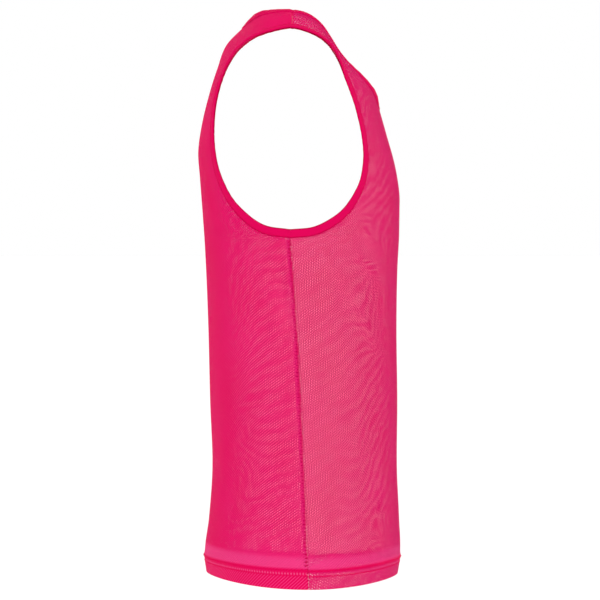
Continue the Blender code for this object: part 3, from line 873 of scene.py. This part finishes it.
def make_cloth(panel, material):
    """One panel from its turned-up hem to the shoulder seams, with the flat cut as its UV map."""
    rows = hem_rows() + [(s, lift_above_hem(s), None) for s in panel_stations(panel)]
    shares = column_shares()
    columns = len(shares)
    turn = 1 if panel.name == "front" else -1
    middle, normals, uvs, drawn, dashes, faces, index = [], [], [], [], [], [], {}
    for side in (1, -1):
        flat_up, inner_u, last = None, 0.0, None
        for r, (station, lift, flat) in enumerate(rows):
            width = panel.width(station)
            gap = SEAM_GAP / 2 / width if station <= panel.underarm else 0.0
            across = shares * (1 - gap)
            points, directions = panel.strip(side, station, across, lift)
            if last is not None:
                moved = points - last
                along = unit(np.gradient(points, axis=0))
                aside = (moved * along).sum(axis=1)
                if station > panel.neck:
                    inner_u += aside[0]
                moved -= aside[:, None] * along
            if flat is not None:
                flat_up = np.full(columns, float(flat))
            else:
                flat_up = flat_up + np.linalg.norm(moved, axis=1)
            last = points
            for c in range(columns):
                if c == 0 and side == -1 and station <= panel.neck + 1e-6:
                    index[side, r, c] = index[1, r, c]
                    continue
                index[side, r, c] = len(middle)
                middle.append(points[c])
                normals.append(directions[c])
                uvs.append((turn * side * (inner_u + across[c] * width), flat_up[c]))
                drawn.append(drawn_in_with_back_shade(panel, station, (1 - across[c]) * width, across[c] * width, flat_up[c]))
                dashes.append(dash_strip(flat_up[c]))
    for side in (1, -1):
        for r in range(len(rows) - 1):
            for c in range(columns - 1):
                corners = [(r, c), (r, c + 1), (r + 1, c + 1), (r + 1, c)]
                faces.append(tuple(index[side, row, column] for row, column in corners[:: side * turn]))
    # On the turned-up stretch the outward normal is still the body's, so the wall is the same both ways.
    name, fields = f"{panel.name}_cloth", {"drawn": drawn, "dashes": dashes}
    return shell(name, faces, middle, normals, NET_WALL, material, np.array(uvs), **fields)


def edge_line(panel, side, share, first_station):
    """(points, normals) along a seam line from a station up to the shoulder seam, both ends included."""
    count = int((panel.shoulder - first_station) / EDGE_SPACING)
    stations = np.linspace(first_station, panel.shoulder, count)
    parts = [panel.strip(side, station, np.array([share])) for station in stations]
    return np.array([p[0] for p, _ in parts]), np.array([n[0] for _, n in parts])


def closed_loop(*lines):
    """The lines, each (points, normals), joined end to end into one loop with no point twice."""
    points = np.concatenate([line[0][:-1] for line in lines])
    normals = np.concatenate([line[1][:-1] for line in lines])
    return points, normals


def reverse(line):
    return line[0][::-1], line[1][::-1]


def binding_profile(lap, width):
    """The folded strip, as (way out from the seam, height): outer face, round edge, inner face.

    lap is how far the strip reaches back over the cloth, which lies between its two raw edges."""
    top = BINDING_HALF
    face = [(-lap, 0.1), (-lap + 0.3, 0.7 * top), (-lap + 1.0, top)]
    for d in (-0.9, 0.0, 0.9):
        face.append((BINDING_STITCH_AT + d, top - BINDING_DENT * bell(d, BINDING_DENT_WIDTH)))
    face += [(width * 0.5, top + BINDING_CROWN)]
    under = [(a, -b) for a, b in reversed(face)]
    round_edge = [(width - top + top * math.sin(a), top * math.cos(a)) for a in np.radians(range(0, 181, 30))]
    return face + round_edge + under


def binding_frame(loop, centre):
    """The loop's points and normals, with the unit vectors that point into the opening."""
    points, normals = loop
    along = unit(np.roll(points, -1, axis=0) - np.roll(points, 1, axis=0))
    out = unit(np.cross(along, normals))
    if ((centre - points) * out).sum() < 0:
        out = -out
    return points, normals, out


def levelled(points, normals, out):
    """An armhole strip's normals and outward directions, turned to lie flatter on the strap."""
    high = np.clip((points[:, 2] - STRAP_TILT_FROM) / (STRAP_TILT_TO - STRAP_TILT_FROM), 0, 1)
    turn = math.radians(STRAP_TILT) * (high * high * (3 - 2 * high))[:, None]
    return normals * np.cos(turn) - out * np.sin(turn), out * np.cos(turn) + normals * np.sin(turn)


def make_binding(name, loop, centre, lap, width, material, thread):
    """The folded strip round a seam loop, and its two rows of stitches, outside and inside."""
    points, normals, out = binding_frame(loop, np.asarray(centre))
    if name.startswith("armhole"):
        normals, out = levelled(points, normals, out)
    run = run_along(points)
    profile = binding_profile(lap, width)
    breathe = 1 + 0.04 * wave(run, 5.0)[:, None]
    rings = np.stack([points + out * a + normals * b * breathe for a, b in profile], axis=1)
    count, sides = len(points), len(profile)
    across = np.concatenate([[0.0], np.cumsum([math.dist(a, b) for a, b in zip(profile, profile[1:])])])
    closing = np.linalg.norm(points[0] - points[-1])
    rows = np.concatenate([rings, rings[:1]])
    uvs = np.stack(
        [np.repeat([*run, run[-1] + closing], sides), np.tile(across, count + 1)], axis=1
    )
    faces = []
    for r in range(count):
        for k in range(sides - 1):
            a, b = r * sides + k, r * sides + k + 1
            faces.append((a, b, b + sides, a + sides))
    strip = make_object(name, rows.reshape(-1, 3), faces, material, uvs)
    seam = np.concatenate([points, points[:1]]), np.concatenate([normals, normals[:1]])
    inward = np.concatenate([out, out[:1]])
    top = (seam[0] + inward * BINDING_STITCH_AT, seam[1])
    low = (seam[0] + inward * BINDING_STITCH_AT, -seam[1])
    paths = stitch_row(top, BINDING_HALF - 0.1) + stitch_row(low, BINDING_HALF - 0.1)
    return strip, tubes(f"{name}_stitches", paths, STITCH_RADIUS, thread)


def side_allowance(panel, side, material, thread):
    """The overlocked seam allowance inside the side seam, turned towards the back, with its thread."""
    label = "left" if side == 1 else "right"
    stations = np.arange(HEM_TURN_UP + 1.5, panel.underarm - 1.0, ALLOWANCE_ROW)
    reach = np.linspace(ALLOWANCE_FROM, ALLOWANCE_WIDTH, ALLOWANCE_COLUMNS)
    grid, normals = [], []
    for station in stations:
        shares = 1 - reach / panel.width(station)
        points, directions = panel.strip(side, station, shares, -ALLOWANCE_DEPTH)
        grid.append(points)
        normals.append(directions)
    return overlocked(f"side_allowance_{label}", np.array(grid), np.array(normals), material, thread)


def shoulder_allowance(panel, side, material, thread):
    """The same inside the shoulder seam, across the strap."""
    label = "left" if side == 1 else "right"
    shares = np.linspace(0.03, 0.97, 14)
    reach = np.linspace(ALLOWANCE_FROM, ALLOWANCE_WIDTH, ALLOWANCE_COLUMNS)
    grid, normals = [], []
    for back in reach:
        points, directions = panel.strip(side, panel.shoulder - back, shares, -ALLOWANCE_DEPTH)
        grid.append(points)
        normals.append(directions)
    grid, normals = np.swapaxes(np.array(grid), 0, 1), np.swapaxes(np.array(normals), 0, 1)
    return overlocked(f"shoulder_allowance_{label}", grid, normals, material, thread)


def overlocked(name, grid, normals, material, thread):
    """A strip from a grid of points (along, across), and the overlock thread that wraps its free edge."""
    rows, columns = grid.shape[:2]
    run = run_along(grid[:, 0])
    spread = np.linspace(0, ALLOWANCE_WIDTH, columns)
    uvs = np.stack([np.repeat(run, columns), np.tile(spread, rows)], axis=1)
    faces = grid_faces(rows, columns)
    flat = grid.reshape(-1, 3), normals.reshape(-1, 3)
    strip = shell(name, faces, *flat, ALLOWANCE_WALL, material, uvs)
    half = ALLOWANCE_WALL / 2 + OVERLOCK_RADIUS
    # One stitch: out over the top face, round the free edge, back under it. (way along, share across, height)
    loop = [(0.0, 0.12, half), (0.3, 0.55, half), (0.5, 0.97, half), (0.55, 1.06, 0.0)]
    loop += [(0.5, 0.97, -half), (0.7, 0.55, -half), (0.95, 0.12, -half)]
    path, upward = [], []
    for start in np.arange(0.0, run[-1] - OVERLOCK_PITCH, OVERLOCK_PITCH):
        for way, share, height in loop:
            r = np.interp(start + way * OVERLOCK_PITCH, run, np.arange(rows))
            low, part = int(min(r, rows - 2)), r - int(min(r, rows - 2))
            inner = grid[low, 0] * (1 - part) + grid[low + 1, 0] * part
            outer = grid[low, -1] * (1 - part) + grid[low + 1, -1] * part
            direction = normals[low, -1]
            path.append(inner + (outer - inner) * share + direction * height)
            upward.append(direction)
    coil = tubes(f"{name}_thread", [(np.array(path), np.array(upward))], OVERLOCK_RADIUS, thread, sides=5)
    return strip, coil


def side_stitches(front, back, side, thread):
    """Short slanting stitches across the side seam, uneven as on the photo."""
    label = "left" if side == 1 else "right"
    paths = []
    for k, station in enumerate(np.arange(2.0, front.underarm - 1.0, SEAM_STITCH_PITCH)):
        uneven = 1 + 0.4 * math.sin(1.7 * k) * math.sin(0.61 * k + 1.0)
        rise = SEAM_STITCH_RISE * uneven
        share_ahead = 1 - SEAM_STITCH_AHEAD / front.width(station)
        share_behind = 1 - SEAM_STITCH_BEHIND * uneven / back.width(station)
        ahead = front.strip(side, station + rise, np.array([share_ahead]), SEAM_STITCH_LIFT)
        behind = back.strip(side, max(station - rise, 0.5), np.array([share_behind]), SEAM_STITCH_LIFT)
        ends = np.array([behind[0][0], ahead[0][0]])
        normal = (behind[1][0] + ahead[1][0]) / 2
        middle = ends.mean(axis=0) + normal * 0.1
        sunk = [end - normal * SEAM_STITCH_SUNK for end in ends]
        path = np.array([sunk[0], middle * 0.5 + ends[0] * 0.5, middle * 0.5 + ends[1] * 0.5, sunk[1]])
        paths.append((path, np.tile(normal, (4, 1))))
    return tubes(f"side_stitches_{label}", paths, SEAM_STITCH_RADIUS, thread, sides=5)


def hem_line(panel, station, lift):
    """(points, normals) right across a panel at this station, from the wearer's right side to the left."""
    shares = np.linspace(0, 1, HEM_LINE_POINTS)
    right = panel.strip(-1, station, shares[::-1], lift)
    left = panel.strip(1, station, shares[1:], lift)
    return np.concatenate([right[0], left[0]]), np.concatenate([right[1], left[1]])


def make_hem_stitches(panel, thread):
    """Two rows of needle stitches outside, and the looper's zigzag over the raw edge inside."""
    paths = []
    for station, ridge in ((HEM_LINE_TOP, HEM_RIDGE), (HEM_LINE_LOW, -0.25)):
        paths += stitch_row(hem_line(panel, station, HEM_HALF_STACK + ridge + NET_WALL / 2), 0.0)
    rows = tubes(f"{panel.name}_hem_stitches", paths, HEM_STITCH_RADIUS, thread)
    lift = -HEM_HALF_STACK - NET_WALL / 2 - STITCH_RADIUS
    top = evenly(hem_line(panel, HEM_LINE_TOP + 0.4, lift), OVERLOCK_PITCH)
    low = evenly(hem_line(panel, HEM_LINE_LOW - 0.4, lift), OVERLOCK_PITCH)
    count = min(len(top[0]), len(low[0]))
    zigzag = np.array([(top if k % 2 else low)[0][k] for k in range(count)])
    facing = -top[1][:count]
    looper = tubes(f"{panel.name}_hem_looper", [(zigzag, facing)], STITCH_RADIUS, thread, sides=5)
    return rows, looper


def build():
    """All the pieces of the bib, each riding on the one body and named with what it stands for."""
    front = Panel("front", FRONT_YOKE, BACK_YOKE, FRONT_FULLNESS)
    back = Panel("back", BACK_YOKE, FRONT_YOKE, BACK_FULLNESS)
    front_net, back_net = net_material("front_net", FRONT_HOLE), net_material("back_net", BACK_HOLE)
    thread, seam_thread = thread_material("thread", THREAD_PINK), thread_material("seam_thread", SEAM_PINK)
    binding = dense_material("binding", DENSE_DEEP, DENSE_PALE, 0.0012)
    allowance = net_material("allowance", ALLOWANCE_HOLE)

    on_front = [*make_hem_stitches(front, thread)]
    on_back = [*make_hem_stitches(back, thread)]
    for side in (1, -1):
        on_back += side_allowance(back, side, allowance, thread)
        on_back += shoulder_allowance(back, side, allowance, thread)
        on_back.append(side_stitches(front, back, side, seam_thread))
    front_cloth, back_cloth = make_cloth(front, front_net), make_cloth(back, back_net)

    front_neck = {side: edge_line(front, side, 0.0, front.neck) for side in (1, -1)}
    back_neck = {side: edge_line(back, side, 0.0, back.neck) for side in (1, -1)}
    neck_loop = closed_loop(front_neck[1], reverse(back_neck[1]), back_neck[-1], reverse(front_neck[-1]))
    neck = make_binding("neck_strip", neck_loop, NECK_CENTRE, NECK_LAP, NECK_WIDTH, binding, thread)
    bindings = {"neck_binding": neck}
    for side, label in ((1, "left"), (-1, "right")):
        front_line = edge_line(front, side, 1.0, front.underarm)
        back_line = edge_line(back, side, 1.0, back.underarm)
        centre = np.array(ARMHOLE_CENTRE) * (side, 1, 1)
        loop = closed_loop(front_line, reverse(back_line))
        bindings[f"armhole_binding_{label}"] = make_binding(
            f"armhole_strip_{label}", loop, centre, ARMHOLE_LAP, ARMHOLE_WIDTH[label], binding, thread
        )

    pieces = [front_cloth, back_cloth, *on_front, *on_back, *(o for made in bindings.values() for o in made)]
    for piece in pieces:
        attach(piece, "root")
    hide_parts("front")
    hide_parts("back")
    for node, (strip, stitches) in bindings.items():
        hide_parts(node)


# ---------------------------------------------------------------- studio
def add_area_light(name, place, aim, size, power):
    light = bpy.data.lights.new(name, "AREA")
    light.size = size
    light.energy = power
    obj = bpy.data.objects.new(name, light)
    obj.location = place
    obj.rotation_euler = (Vector(aim) - Vector(place)).to_track_quat("-Z", "Y").to_euler()
    bpy.context.scene.collection.objects.link(obj)


def make_studio():
    """A white room: an even white sky, a key from the wearer's front right, a weak fill, and a floor."""
    world = bpy.data.worlds.new("studio")
    world.use_nodes = True
    world.node_tree.nodes["Background"].inputs["Color"].default_value = (1.0, 1.0, 1.0, 1.0)
    world.node_tree.nodes["Background"].inputs["Strength"].default_value = 1.0
    bpy.context.scene.world = world
    bpy.context.scene.view_settings.view_transform = "Standard"
    add_area_light("key", KEY_PLACE, LIGHT_AIM, LIGHT_SIZE, KEY_POWER)
    add_area_light("fill", FILL_PLACE, LIGHT_AIM, LIGHT_SIZE, FILL_POWER)
    sun = bpy.data.lights.new("ceiling", "SUN")
    sun.energy = CEILING_POWER
    sun.angle = math.radians(CEILING_SPREAD)
    bpy.context.scene.collection.objects.link(bpy.data.objects.new("ceiling", sun))
    corners = [(x * FLOOR_HALF, y * FLOOR_HALF) for x, y in ((-1, -1), (1, -1), (1, 1), (-1, 1))]
    mesh = bpy.data.meshes.new("floor")
    mesh.from_pydata([(x, y, FLOOR_Z) for x, y in corners], [], [(0, 1, 2, 3)])
    mesh.materials.append(floor_material())
    floor = bpy.data.objects.new("floor", mesh)
    bpy.context.scene.collection.objects.link(floor)


def make_camera():
    data = bpy.data.cameras.new("camera")
    data.lens = CAMERA_LENS
    data.sensor_width = CAMERA_SENSOR
    data.clip_end = CAMERA_FAR
    camera = bpy.data.objects.new("camera", data)
    camera.location = CAMERA_PLACE
    camera.rotation_euler = (Vector(CAMERA_AIM) - Vector(CAMERA_PLACE)).to_track_quat("-Z", "Y").to_euler()
    bpy.context.scene.collection.objects.link(camera)
    bpy.context.scene.camera = camera


make_camera()
make_studio()
build()
